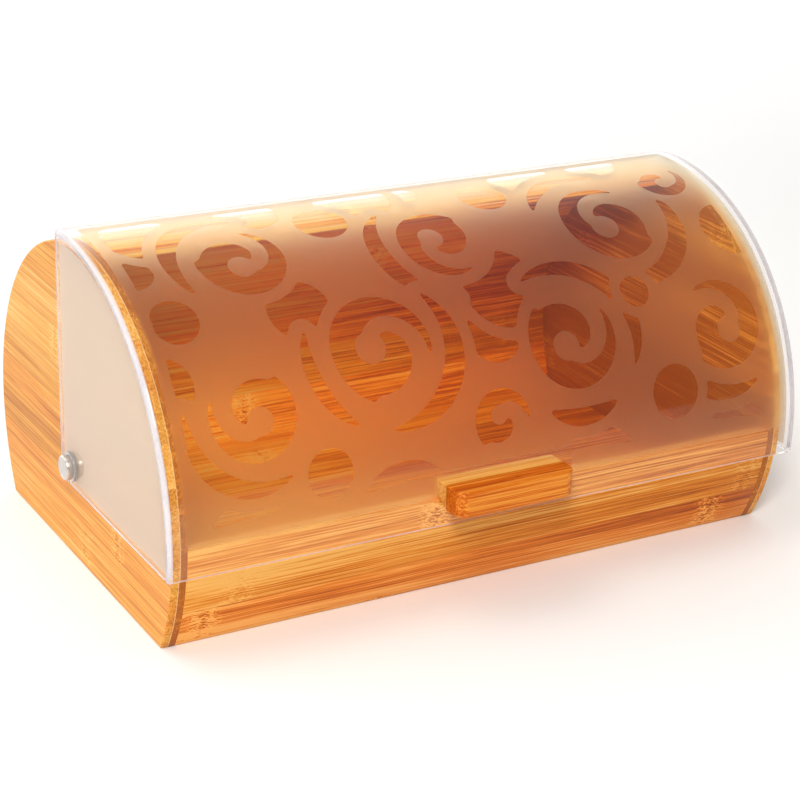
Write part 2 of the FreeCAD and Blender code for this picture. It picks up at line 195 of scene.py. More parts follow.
def bamboo(name, grain, tones=(DARK, MID, LIGHT, PALE), strip=20.0, ply=4.0, seed=0.0,
           lift=0.0, glue=True, knots=1.0, streak=1.0, gloss=0.40, low_strip=None, high_strip=None, thick=8.0, painted_shade_tilt=0.0, painted_shade_outer_share=1.0, inner_ply=0.0):
    """Laminated bamboo: strips side by side, long fibres, a knuckle now and then
    along each strip, a glue line where strips and plies meet.  grain gives, in
    millimetres, the distance along the fibres, across the strips and in depth."""
    t = Tree(name)
    u, v, w = grain(t)
    layer = t.f("FLOOR", t.f("DIVIDE", w, ply))
    across = t.f("ADD", t.f("DIVIDE", v, strip), t.f("MULTIPLY", layer, 0.37))
    idx = t.f("ADD", t.f("FLOOR", across), t.f("MULTIPLY", layer, 31.0))
    idx = t.f("ADD", idx, seed + 0.5)
    r1, r2, r3 = t.dice(idx)
    r4, r5, r6 = t.dice(t.f("ADD", idx, 211.3))
    part = t.f("FRACT", across)
    us = t.f("ADD", u, t.f("MULTIPLY", r1, 900.0))
    # knuckles: one every 230 to 330 mm of a strip, curved a little across it
    pitch = t.f("ADD", 230.0, t.f("MULTIPLY", r2, 100.0))
    bow = t.f("MULTIPLY", t.f("POWER", t.f("ABSOLUTE", t.f("SUBTRACT", part, 0.5)), 2.0), 9.0)
    wob = t.f("MULTIPLY", t.f("SUBTRACT", t.noise(t.xyz(t.f("MULTIPLY", v, 0.35), idx, 0.0), 1.0, 2.0), 0.5), 7.0)
    along = t.f("ADD", t.f("ADD", us, t.f("MULTIPLY", r3, 500.0)), t.f("ADD", bow, wob))
    near = t.f("MULTIPLY", t.f("SUBTRACT", t.f("FRACT", t.f("DIVIDE", along, pitch)), 0.5), pitch)
    far = t.f("ABSOLUTE", near)
    strength = t.f("MULTIPLY", t.span(r4, 0.15, 0.75, 0.25, 1.0), knots)
    knuckle = t.f("MULTIPLY", t.span(far, 13.0, 2.5), strength)
    core = t.f("MULTIPLY", t.span(far, 3.4, 0.4), strength)
    # fibres, drawn out along the strip; near a knuckle they spread and mix
    sq = t.f("MULTIPLY", knuckle, 2.2)
    vs = t.f("ADD", v, t.f("MULTIPLY", t.noise(t.xyz(t.f("MULTIPLY", us, 0.22), t.f("MULTIPLY", v, 0.5), idx), 1.0, 2.0), sq))
    fine = t.noise(t.xyz(t.f("MULTIPLY", us, 0.045), t.f("MULTIPLY", vs, 3.1), t.f("ADD", t.f("MULTIPLY", w, 3.1), idx)), 1.0, 2.0, 0.6)
    mid = t.noise(t.xyz(t.f("MULTIPLY", us, 0.009), t.f("MULTIPLY", vs, 0.95), t.f("ADD", t.f("MULTIPLY", w, 0.95), idx)), 1.0, 2.0, 0.55)
    wide = t.noise(t.xyz(t.f("MULTIPLY", us, 0.006), t.f("MULTIPLY", v, 0.22), t.f("ADD", idx, 5.0)), 1.0, 1.5, 0.5)
    fleck = t.noise(t.xyz(t.f("MULTIPLY", us, 0.55), t.f("MULTIPLY", v, 1.5), t.f("ADD", w, idx)), 1.0, 2.0, 0.6)
    tone = t.f("ADD", t.f("MULTIPLY", t.f("SUBTRACT", fine, 0.5), 0.95 * streak),
               t.f("MULTIPLY", t.f("SUBTRACT", mid, 0.5), 1.7 * streak))
    tone = t.f("ADD", tone, t.f("MULTIPLY", t.f("SUBTRACT", wide, 0.5), 0.7))
    tone = t.f("ADD", tone, t.f("MULTIPLY", t.f("SUBTRACT", r5, 0.5), 0.34))
    tone = t.f("ADD", tone, 0.52 + lift)
    if inner_ply:                   # the inner ply is a deeper colour
        tone = t.f("ADD", tone, t.span(w, ply + 0.02, ply - 0.02, 0.0, inner_ply))
    if painted_shade_tilt:                       # painted shade: the board darkens towards its right end (+x), standing for light falling from the left
        # painted shade: the layer below the ply line takes the full darkening, the layer above it a share of it
        painted_shade_slope = t.span(w, ply + 0.02, ply - 0.02, painted_shade_tilt * painted_shade_outer_share, painted_shade_tilt)
        tone = t.f("ADD", tone, t.f("MULTIPLY", t.place()[0], painted_shade_slope))
    # the knuckle: mottled, pale just beside a darker line
    spots = t.f("MULTIPLY", t.f("MULTIPLY", t.f("SUBTRACT", fleck, 0.47), 3.4), knuckle)
    tone = t.f("ADD", tone, spots)
    tone = t.f("ADD", tone, t.f("MULTIPLY", t.f("SUBTRACT", knuckle, t.f("MULTIPLY", core, 1.7)), 0.13))
    if low_strip:
        z0, gain = low_strip
        z = t.f("MULTIPLY", t.place()[2], 1000.0)
        tone = t.f("ADD", tone, t.span(z, z0 + 0.6, z0 - 0.6, 0.0, gain))
    if high_strip:
        z1, gain = high_strip
        z = t.f("MULTIPLY", t.place()[2], 1000.0)
        tone = t.f("ADD", tone, t.span(z, z1 - 0.3, z1 + 0.3, 0.0, gain))
    colour = t.ramp(tone, [(0.05, tones[0]), (0.38, tones[1]), (0.66, tones[2]), (0.95, tones[3])])
    colour = t.hsv(colour, hue=t.f("ADD", 0.4965, t.f("MULTIPLY", r6, 0.007)), sat=1.0,
                   val=t.f("ADD", 0.94, t.f("MULTIPLY", r4, 0.12)))
    edge = t.f("MULTIPLY", t.f("ABSOLUTE", t.f("SUBTRACT", part, 0.5)), 2.0 * strip / 2.0)
    seam = t.span(edge, strip / 2.0 - 0.28, strip / 2.0 - 0.05)
    if glue:
        colour = t.mix(t.f("MULTIPLY", seam, 0.33), colour, tones[0], "MIX")
        lay = t.f("ABSOLUTE", t.f("SUBTRACT", t.f("FRACT", t.f("ADD", t.f("DIVIDE", w, ply), 0.5)), 0.5))
        line = t.span(t.f("MULTIPLY", lay, ply), 0.30, 0.12)
        line = t.f("MULTIPLY", line, t.f("MULTIPLY", t.span(w, 0.7, 1.0), t.span(w, thick - 0.7, thick - 1.0)))
        colour = t.mix(t.f("MULTIPLY", line, 0.55), colour, (0.90, 0.66, 0.36), "MIX")
    rough = t.f("ADD", gloss, t.f("MULTIPLY", t.f("SUBTRACT", mid, 0.5), 0.22))
    rough = t.f("ADD", rough, t.f("MULTIPLY", knuckle, 0.08))
    height = t.f("ADD", t.f("MULTIPLY", fine, 0.5), t.f("MULTIPLY", mid, 0.35))
    height = t.f("SUBTRACT", height, t.f("MULTIPLY", seam, 0.6))
    height = t.f("ADD", height, t.f("MULTIPLY", knuckle, t.f("MULTIPLY", fleck, 0.5)))
    p = t.shader(Base_Color=colour, Roughness=rough, Specular_IOR_Level=0.16, Coat_Weight=0.02, Coat_Roughness=0.22,
                 Normal=t.bump(height, 0.00012, 0.55))
    return t.show(p.outputs[0])


def mm(t, s):
    return t.f("MULTIPLY", s, 1000.0)


def along_y(t):
    x, y, z = t.place()
    return mm(t, y), t.f("ADD", mm(t, z), 3.0), t.f("SUBTRACT", mm(t, t.f("ABSOLUTE", x)), 181.95)


def along_x_round(t, back=114.45):
    x, y, z = t.place()
    dy, dz = t.f("SUBTRACT", y, AY), t.f("SUBTRACT", z, AZ)
    ang = t.f("ARCTAN2", t.f("MULTIPLY", dy, -1.0), dz)
    r = t.f("SQRT", t.f("ADD", t.f("MULTIPLY", dy, dy), t.f("MULTIPLY", dz, dz)))
    return mm(t, x), t.f("MULTIPLY", ang, 120.0), t.f("SUBTRACT", mm(t, r), back)


def along_x_flat(t):
    x, y, z = t.place()
    return mm(t, x), mm(t, y), t.f("SUBTRACT", mm(t, z), -0.05)


def along_x_bar(t):
    x, y, z = t.place()
    return mm(t, x), mm(t, z), t.f("SUBTRACT", 0.0, mm(t, y))


def along_x_pin(t):
    x, y, z = t.place()
    return mm(t, x), t.f("MULTIPLY", mm(t, y), 1.0), mm(t, z)


SIDE = ((0.42, 0.115, 0.010), (0.69, 0.260, 0.030), (0.81, 0.375, 0.062), (0.91, 0.54, 0.17))
# tones for the back shell and base board: brighter and more orange than the front board's, painted light standing for
# the light and wood-to-wood bounce inside the box
INNER_LIT_TONES = ((0.50, 0.095, 0.002), (0.90, 0.270, 0.008), (0.97, 0.430, 0.028), (0.98, 0.60, 0.12))
HANDLE = ((0.31, 0.034, 0.001), (0.47, 0.078, 0.001), (0.58, 0.120, 0.002), (0.75, 0.27, 0.030))
bamboo_side = bamboo("bamboo_side", along_y, SIDE, strip=21.0, seed=3.0, lift=0.02, streak=0.85, knots=0.6, inner_ply=-0.52)
# the tilt numbers on the front, back and base boards are painted shade, darker towards their right ends
bamboo_front = bamboo("bamboo_front", along_x_round, strip=22.0, ply=4.0, seed=40.0, knots=1.15, painted_shade_tilt=-0.9, low_strip=(9.0, 0.30), high_strip=(37.0, 0.26))
bamboo_back = bamboo("bamboo_back", lambda t: along_x_round(t, 116.45), INNER_LIT_TONES, strip=24.0, ply=3.0, seed=77.0, streak=1.1, thick=6.0, painted_shade_tilt=-1.9, painted_shade_outer_share=0.2)
bamboo_base = bamboo("bamboo_base", along_x_flat, INNER_LIT_TONES, strip=22.0, ply=4.0, seed=120.0, painted_shade_tilt=-1.7)
bamboo_bar = bamboo("bamboo_bar", along_x_bar, HANDLE, strip=30.0, ply=4.6, seed=160.0, knots=0.35, lift=0.03, glue=False, gloss=0.34)
bamboo_block = bamboo("bamboo_block", along_x_bar, SIDE, strip=30.0, ply=5.0, seed=170.0, knots=0.2, lift=0.10, glue=False)
dowel_wood = bamboo("dowel_wood", along_x_pin, SIDE, strip=30.0, ply=30.0, seed=200.0, knots=0.0, lift=0.12, glue=False, gloss=0.6)


# ------------------------------------------------------------------ acrylic
def through(t, shader, shadow, seen):
    """Lets the lamps, and light on its way from wood to wood, pass straight
    through the plastic, dimmed as the real sheet dims it."""
    path = t.n("ShaderNodeLightPath")
    a, b = t.n("ShaderNodeBsdfTransparent"), t.n("ShaderNodeBsdfTransparent")
    t.put(a.inputs[0], shadow)
    t.put(b.inputs[0], seen)
    m1, m2 = t.n("ShaderNodeMixShader"), t.n("ShaderNodeMixShader")
    t.put(m1.inputs[0], path.outputs["Is Diffuse Ray"])
    t.put(m1.inputs[1], shader.outputs[0])
    t.put(m1.inputs[2], b.outputs[0])
    t.put(m2.inputs[0], path.outputs["Is Shadow Ray"])
    t.put(m2.inputs[1], m1.outputs[0])
    t.put(m2.inputs[2], a.outputs[0])
    return t.show(m2.outputs[0])


def acrylic_clear(name, tint=(0.995, 0.99, 0.99), shadow=(0.98, 0.98, 0.98)):
    t = Tree(name)
    x, y, z = t.place()
    v = t.xyz(mm(t, x), mm(t, y), mm(t, z))
    smear = t.noise(v, 0.03, 3.0, 0.6)
    dust = t.cells(v, 0.42)[0]
    speck = t.span(dust, 0.07, 0.03)
    hair = t.span(t.noise(t.xyz(t.f("MULTIPLY", mm(t, x), 0.9), t.f("MULTIPLY", mm(t, y), 0.03), t.f("MULTIPLY", mm(t, z), 0.03)), 1.0, 2.0), 0.70, 0.76)
    rough = t.f("ADD", t.f("ADD", 0.015, t.f("MULTIPLY", smear, 0.03)), t.f("MULTIPLY", speck, 0.10))
    colour = t.mix(t.f("MULTIPLY", speck, 0.35), tint, (0.90, 0.90, 0.92))
    p = t.shader(Base_Color=colour, Roughness=rough, IOR=1.35, Specular_IOR_Level=0.25, Transmission_Weight=1.0,
                 Normal=t.bump(t.f("ADD", smear, t.f("MULTIPLY", hair, 0.02)), 0.00012, 0.35))
    return through(t, p, shadow, shadow)


def acrylic_frost(name, colour, body, shadow, rough=0.46, glass=0.94, grain=0.10, veil=0.0):
    t = Tree(name)
    x, y, z = t.place()
    v = t.xyz(mm(t, x), mm(t, y), mm(t, z))
    cloud = t.noise(v, 0.022, 3.0, 0.55)
    fine = t.noise(v, 2.2, 2.0, 0.6)
    tone = t.f("ADD", t.f("MULTIPLY", t.f("SUBTRACT", fine, 0.5), grain), t.f("MULTIPLY", t.f("SUBTRACT", cloud, 0.5), grain))
    c = t.mix(t.f("ADD", 0.5, tone, clamp=True), body, colour)
    r = t.f("ADD", t.f("ADD", rough, t.f("MULTIPLY", t.f("SUBTRACT", cloud, 0.5), 0.08)), t.f("MULTIPLY", t.f("SUBTRACT", fine, 0.5), 0.06))
    p = t.shader(Base_Color=c, Roughness=r, IOR=1.35, Specular_IOR_Level=0.12, Transmission_Weight=glass,
                 Sheen_Weight=veil, Sheen_Roughness=0.35,
                 Normal=t.bump(fine, 0.00003, 0.5))
    return through(t, p, shadow, shadow)


def acrylic_edge(name):
    t = Tree(name)
    x, y, z = t.place()
    v = t.xyz(mm(t, x), mm(t, y), mm(t, z))
    saw = t.noise(t.xyz(t.f("MULTIPLY", mm(t, x), 0.6), t.f("MULTIPLY", mm(t, y), 0.6), t.f("MULTIPLY", mm(t, z), 0.6)), 1.0, 3.0, 0.6)
    cloud = t.noise(v, 0.05, 2.0)
    # pale lavender-white: partly the matte look of a sawn edge, partly a painted highlight standing for the bright
    # line a rounded edge catches
    c = t.ramp(t.f("ADD", t.f("MULTIPLY", saw, 0.5), t.f("MULTIPLY", cloud, 0.5)),
               [(0.25, (0.70, 0.66, 0.76)), (0.5, (0.86, 0.84, 0.90)), (0.8, (0.95, 0.94, 0.97))])
    p = t.shader(Base_Color=c, Roughness=t.f("ADD", 0.12, t.f("MULTIPLY", saw, 0.18)), IOR=1.49,
                 Transmission_Weight=0.55, Normal=t.bump(saw, 0.00006, 0.4))
    return through(t, p, (0.75, 0.74, 0.78), (0.75, 0.74, 0.78))


lid_clear = acrylic_clear("lid_clear")
lid_frost = acrylic_frost("lid_frost", (1.0, 0.93, 0.66), (1.0, 0.89, 0.56), (0.95, 0.89, 0.77), rough=0.44, glass=0.975, veil=0.08)
wing_frost = acrylic_frost("wing_frost", (0.80, 0.68, 0.52), (0.70, 0.55, 0.41), (0.62, 0.58, 0.54), rough=0.40, glass=0.50, grain=0.25)
lid_edge = acrylic_edge("lid_edge")


def clear_plastic():
    t = Tree("clear_plastic_turned")
    x, y, z = t.place()
    dy, dz = t.f("SUBTRACT", mm(t, y), AY * 1000), t.f("SUBTRACT", mm(t, z), AZ * 1000)
    r = t.f("SQRT", t.f("ADD", t.f("MULTIPLY", dy, dy), t.f("MULTIPLY", dz, dz)))
    rings = t.noise(t.xyz(t.f("MULTIPLY", r, 6.0), 0.0, 0.0), 1.0, 2.0)
    cloud = t.noise(t.xyz(mm(t, x), mm(t, y), mm(t, z)), 0.3, 2.0)
    p = t.shader(Base_Color=t.ramp(cloud, [(0.3, (0.88, 0.87, 0.88)), (0.7, (0.96, 0.95, 0.96))]),
                 Roughness=t.f("ADD", 0.16, t.f("MULTIPLY", rings, 0.14)), IOR=1.47, Transmission_Weight=0.72,
                 Normal=t.bump(rings, 0.00004, 0.5))
    return through(t, p, (0.8, 0.8, 0.8), (0.8, 0.8, 0.8))


def metal(name, dark, light, centre=None, rough=0.28, line=7.0, knurl=False):
    t = Tree(name)
    x, y, z = t.place()
    if centre is None:
        v = t.xyz(t.f("MULTIPLY", mm(t, x), 3.0), t.f("MULTIPLY", mm(t, y), 3.0), t.f("MULTIPLY", mm(t, z), 0.6))
        brush = t.noise(v, 1.0, 3.0, 0.6)
    else:
        dy, dz = t.f("SUBTRACT", mm(t, y), centre[0]), t.f("SUBTRACT", mm(t, z), centre[1])
        r = t.f("SQRT", t.f("ADD", t.f("MULTIPLY", dy, dy), t.f("MULTIPLY", dz, dz)))
        ang = t.f("ARCTAN2", dy, dz)
        brush = t.noise(t.xyz(t.f("MULTIPLY", r, line), t.f("MULTIPLY", ang, 0.8), t.f("MULTIPLY", mm(t, x), 4.0)), 1.0, 3.0, 0.6)
    stain = t.noise(t.xyz(mm(t, x), mm(t, y), mm(t, z)), 0.35, 3.0, 0.55)
    height = brush
    if knurl:
        dy, dz = t.f("SUBTRACT", mm(t, y), AY * 1000), t.f("SUBTRACT", mm(t, z), AZ * 1000)
        teeth = t.f("SINE", t.f("MULTIPLY", t.f("ARCTAN2", dy, dz), 44.0))
        height = t.f("ADD", t.f("MULTIPLY", teeth, 1.5), brush)
    colour = t.ramp(t.f("ADD", t.f("MULTIPLY", brush, 0.6), t.f("MULTIPLY", stain, 0.4)), [(0.3, dark), (0.7, light)])
    p = t.shader(Base_Color=colour, Metallic=1.0,
                 Roughness=t.f("ADD", rough, t.f("MULTIPLY", t.f("SUBTRACT", stain, 0.4), 0.25)),
                 Normal=t.bump(height, 0.00003, 0.5))
    return t.show(p.outputs[0])


plastic = clear_plastic()
pin_steel = metal("pin_steel_turned", (0.50, 0.49, 0.47), (0.72, 0.71, 0.69), (AY * 1000, AZ * 1000), rough=0.30)
screw_steel = metal("screw_steel_zinc", (0.52, 0.52, 0.53), (0.74, 0.74, 0.75), rough=0.32)
brass = metal("insert_brass", (0.55, 0.36, 0.12), (0.80, 0.58, 0.25), rough=0.3, knurl=True)


# ------------------------------------------------------------------ mesh tools
def crease(me, normals):
    """Marks the edges sharp across which the given loop normals differ."""
    seen = {}
    sharp = [False] * len(me.edges)
    for p in me.polygons:
        ls = list(p.loop_indices)
        for k, l in enumerate(ls):
            nxt = ls[(k + 1) % len(ls)]
            a, b = me.loops[l].vertex_index, me.loops[nxt].vertex_index
            e = me.loops[l].edge_index
            here = {a: normals[l], b: normals[nxt]}
            if e in seen:
                for v, n in seen[e].items():
                    m = here[v]
                    if n[0] * m[0] + n[1] * m[1] + n[2] * m[2] < 0.9995:
                        sharp[e] = True
            else:
                seen[e] = here
    at_ = me.attributes.get("sharp_edge") or me.attributes.new("sharp_edge", "BOOLEAN", "EDGE")
    at_.data.foreach_set("value", sharp)


def piece(name, verts, faces, mats, body, slots=None, normals=None, angle=32.0):
    me = bpy.data.meshes.new(name)
    me.from_pydata([tuple(v) for v in verts], [], [tuple(f) for f in faces])
    for m in mats:
        me.materials.append(m)
    me.polygons.foreach_set("use_smooth", [True] * len(me.polygons))
    if slots is not None:
        me.polygons.foreach_set("material_index", slots)
    me.update()
    if normals is not None:
        crease(me, normals)
        me.normals_split_custom_set(normals)
    else:
        me.set_sharp_from_angle(angle=math.radians(angle))
    me.validate(clean_customdata=False)
    ob = bpy.data.objects.new(name, me)
    bpy.context.scene.collection.objects.link(ob)
    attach(ob, body)
    return ob


class Build:
    """Collects vertices and faces, with one material index and normals by face."""

    def __init__(self):
        self.v, self.f, self.m, self.nf = [], [], [], []

    def add(self, pts):
        k = len(self.v)
        self.v.extend(pts)
        return list(range(k, k + len(pts)))

    def face(self, ids, mat=0, normals=None):
        self.f.append(tuple(ids))
        self.m.append(mat)
        self.nf.append(normals)

    def strip(self, a, b, closed=True, mat=0, flip=False):
        n = len(a)
        for i in range(n if closed else n - 1):
            j = (i + 1) % n
            q = (a[i], a[j], b[j], b[i])
            self.face(q[::-1] if flip else q, mat)


def finish_normals(build):
    """Loop normals: given where a face has them, else the face's own."""
    out = []
    V3 = [Vector(p) for p in build.v]
    for f, nf in zip(build.f, build.nf):
        if nf is None:
            n = Vector((0, 0, 0))
            for i in range(len(f)):
                a, b = V3[f[i]], V3[f[(i + 1) % len(f)]]
                n += a.cross(b)
            n.normalize()
            out.extend([n[:]] * len(f))
        else:
            out.extend(nf)
    return out


def loops_cdt(loops, extra=()):
    """Triangles of the flat area bounded by closed loops (the first is the
    outer one), conforming to every loop.  Points in millimetres."""
    pts, edges = [], []
    for lp in loops:
        k = len(pts)
        pts.extend(lp)
        edges.extend((k + i, k + (i + 1) % len(lp)) for i in range(len(lp)))
    pts.extend(extra)
    ov, oe, of, orig, _, _ = delaunay_2d_cdt([Vector(p) for p in pts], edges, [], 0, 1e-5)
    return [tuple(p) for p in ov], [tuple(f) for f in of], orig


def inside(poly, x, y):
    hit = False
    n = len(poly)
    j = n - 1
    for i in range(n):
        xi, yi = poly[i]
        xj, yj = poly[j]
        if (yi > y) != (yj > y) and x < (xj - xi) * (y - yi) / (yj - yi) + xi:
            hit = not hit
        j = i
    return hit


def shrink(poly, d):
    """A closed outline moved inwards by d (drawn counter-clockwise)."""
    n = len(poly)
    out = []
    for i in range(n):
        p0, p1, p2 = Vector(poly[i - 1]), Vector(poly[i]), Vector(poly[(i + 1) % n])
        a, b = (p1 - p0), (p2 - p1)
        if a.length < 1e-9 or b.length < 1e-9:
            out.append(tuple(p1))
            continue
        a.normalize()
        b.normalize()
        na, nb = Vector((-a.y, a.x)), Vector((-b.y, b.x))
        m = na + nb
        m /= max(m.length_squared / 2.0, 0.5)
        out.append(tuple(p1 + m * d))
    return out


def area2(poly):
    return 0.5 * sum(poly[i - 1][0] * poly[i][1] - poly[i][0] * poly[i - 1][1] for i in range(len(poly)))


def round_corners(poly, radii, seg=4):
    """Rounds the corners given as {index: radius}."""
    n = len(poly)
    drop = set()
    arcs = {}
    for i, r in radii.items():
        p = Vector(poly[i])
        # directions a little way off, past very short edges
        def walk(step):
            k, last = i, p
            while True:
                k = (k + step) % n
                if (Vector(poly[k]) - p).length > r * 1.5:
                    return Vector(poly[k]), k
        a, ka = walk(-1)
        b, kb = walk(1)
        da, db = (a - p).normalized(), (b - p).normalized()
        ang = da.angle(db)
        cut = min(r / math.tan(ang / 2.0), r * 1.45)
        rr = cut * math.tan(ang / 2.0)
        c = p + (da + db).normalized() * (rr / math.sin(ang / 2.0))
        s0, s1 = p + da * cut, p + db * cut
        a0 = math.atan2(s0.y - c.y, s0.x - c.x)
        a1 = math.atan2(s1.y - c.y, s1.x - c.x)
        dlt = (a1 - a0 + math.pi) % (2 * math.pi) - math.pi
        arcs[i] = [(c.x + rr * math.cos(a0 + dlt * k / seg), c.y + rr * math.sin(a0 + dlt * k / seg)) for k in range(seg + 1)]
        k = (ka + 1) % n
        while k != kb:
            if k != i:
                drop.add(k)
            k = (k + 1) % n
    out = []
    for i in range(n):
        if i in drop:
            continue
        if i in arcs:
            out.extend(arcs[i])
        else:
            out.append(tuple(poly[i]))
    return out


# ------------------------------------------------------------------ case
def case_outline(d, n=176):
    """Outline of a side panel moved in by d, counter-clockwise seen from the
    right (y to the right, z up)."""
    r = R_CASE - d
    a = math.asin((60.0 - d) / r)
    out = []
    for i in range(n + 1):
        # from the rear foot over the top to the front foot
        g = -a + (math.pi + 2 * a) * i / n
        out.append((r * math.cos(g), 60.0 + r * math.sin(g)))
    front, rear = out[-1], out[0]
    k = 24
    for i in range(1, k):
        out.append((front[0] + (rear[0] - front[0]) * i / k, d))
    return out


def circle(cy, cz, r, n=48):
    return [(cy + r * math.cos(2 * math.pi * i / n), cz + r * math.sin(2 * math.pi * i / n)) for i in range(n)]


def flat_cap(b, loops, x, towards, mat=0, holes=1, pick=None):
    """Fills loops (first outer, next holes) at one x.  Returns ids by loop."""
    pts, tris, orig = loops_cdt(loops)
    ids = b.add([at(x, p[0], p[1]) for p in pts])
    back = {}
    for k, o in enumerate(orig):
        for q in o:
            back[q] = ids[k]
    for f in tris:
        cx = sum(pts[i][0] for i in f) / len(f)
        cz = sum(pts[i][1] for i in f) / len(f)
        if not inside(loops[0], cx, cz) or any(inside(h, cx, cz) for h in loops[1:1 + holes]):
            continue
        area = area2([pts[i] for i in f])
        f = f if area > 0 else f[::-1]
        # counter-clockwise in (y, z) faces +X
        g = [ids[i] for i in f]
        b.face(g if towards > 0 else g[::-1], mat if pick is None else pick(cx, cz),
               [(float(towards), 0.0, 0.0)] * len(g))
    out, k = [], 0
    for lp in loops:
        out.append([back[k + i] for i in range(len(lp))])
        k += len(lp)
    return out


def weld(build, eps=1e-6):
    """Joins vertices that lie on each other."""
    key, remap, nv = {}, [], []
    for p in build.v:
        k = (round(p[0] / eps), round(p[1] / eps), round(p[2] / eps))
        if k not in key:
            key[k] = len(nv)
            nv.append(p)
        remap.append(key[k])
    f2, m2, n2 = [], [], []
    for f, m, nf in zip(build.f, build.m, build.nf):
        g = [remap[i] for i in f]
        keep = [i for i in range(len(g)) if g[i] != g[i - 1]]
        if len(keep) < 3:
            continue
        f2.append(tuple(g[i] for i in keep))
        m2.append(m)
        n2.append(None if nf is None else [nf[i] for i in keep])
    build.v, build.f, build.m, build.nf = nv, f2, m2, n2


def side_panel(sign, name, node):
    """A round side: soft outer edge, a hole for the threaded insert."""
    b = Build()
    e, q = 1.0, 0.35
    rings = []
    for k in range(6):                      # outer edge, radius e
        a = math.pi / 2 * k / 5
        rings.append((-190.0 + e - e * math.cos(a), e - e * math.sin(a), (-math.cos(a), math.sin(a))))
    for k in range(4):                      # inner edge, radius q
        a = math.pi / 2 * k / 3
        rings.append((-182.0 - q + q * math.sin(a), q - q * math.cos(a), (math.sin(a), math.cos(a))))
    out0 = case_outline(0.0)
    nrm = []
    for i, p in enumerate(out0):
        a, c = out0[i - 1], out0[(i + 1) % len(out0)]
        t = Vector((c[0] - a[0], c[1] - a[1])).normalized()
        nrm.append((t.y, -t.x))
    ids = []
    for x, d, _ in rings:
        ids.append(b.add([at(x, p[0], p[1]) for p in case_outline(d)]))
    for k in range(len(rings) - 1):
        na, nb = rings[k][2], rings[k + 1][2]
        n = len(out0)
        for i in range(n):
            j = (i + 1) % n
            flat_i, flat_j = nrm[i], nrm[j]
            if i >= 176:                    # along the foot, where it stands
                flat_i = flat_j = (0.0, -1.0)
            def nn(w, f):
                v = Vector((w[0], f[0] * w[1], f[1] * w[1]))
                return v.normalized()[:]
            b.face((ids[k][i], ids[k][j], ids[k + 1][j], ids[k + 1][i]), 0,
                   [nn(na, flat_i), nn(na, flat_j), nn(nb, flat_j), nn(nb, flat_i)])
    hole = circle(0.0, 60.0, 4.25)
    lo = flat_cap(b, [case_outline(e), hole], -190.0, -1)
    flat_cap(b, [case_outline(q)], -182.0, 1, holes=0)
    deep = b.add([at(-183.3, p[0], p[1]) for p in hole])
    b.strip(lo[1], deep)
    b.face(deep)
    # strip and cap wind so that outward is outward on the left side
    if sign > 0:
        b.v = [(-p[0], p[1], p[2]) for p in b.v]
        b.f = [f[::-1] for f in b.f]
        b.nf = [None if n is None else [(-q0, q1, q2) for q0, q1, q2 in n[::-1]] for n in b.nf]
    weld(b)
    ob = piece(name, b.v, b.f, [bamboo_side], "case", b.m, finish_normals(b))
    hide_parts(node)
    return ob


def sweep_x(name, profile, x0, x1, mat, body, parts=12, end_edge=0.3):
    """A profile (y, z), counter-clockwise in (y, z), pushed along X."""
    b = Build()
    xs, ds = [], []
    for k in range(4):
        a = math.pi / 2 * k / 3
        xs.append(x0 + end_edge - end_edge * math.cos(a))
        ds.append(end_edge - end_edge * math.sin(a))
    for k in range(1, parts):
        xs.append(x0 + (x1 - x0) * k / parts)
        ds.append(0.0)
    for k in range(4):
        a = math.pi / 2 * k / 3
        xs.append(x1 - end_edge + end_edge * math.sin(a))
        ds.append(end_edge - end_edge * math.cos(a))
    rings = [b.add([at(x, p[0], p[1]) for p in (shrink(profile, d) if d > 0 else profile)]) for x, d in zip(xs, ds)]
    for k in range(len(rings) - 1):
        b.strip(rings[k], rings[k + 1], flip=False)
    pts, tris, _ = loops_cdt([profile])
    for ring, face_x in ((rings[0], -1), (rings[-1], 1)):
        b.face(ring[::-1] if face_x < 0 else ring)
    ob = piece(name, b.v, b.f, [mat], body, b.m)
    return ob


def arc_pts(r, d0, d1, n):
    return [(-r * math.sin(math.radians(d0 + (d1 - d0) * i / n)), 60.0 + r * math.cos(math.radians(d0 + (d1 - d0) * i / n))) for i in range(n + 1)]


def ccw(poly):
    return poly if area2(poly) > 0 else poly[::-1]


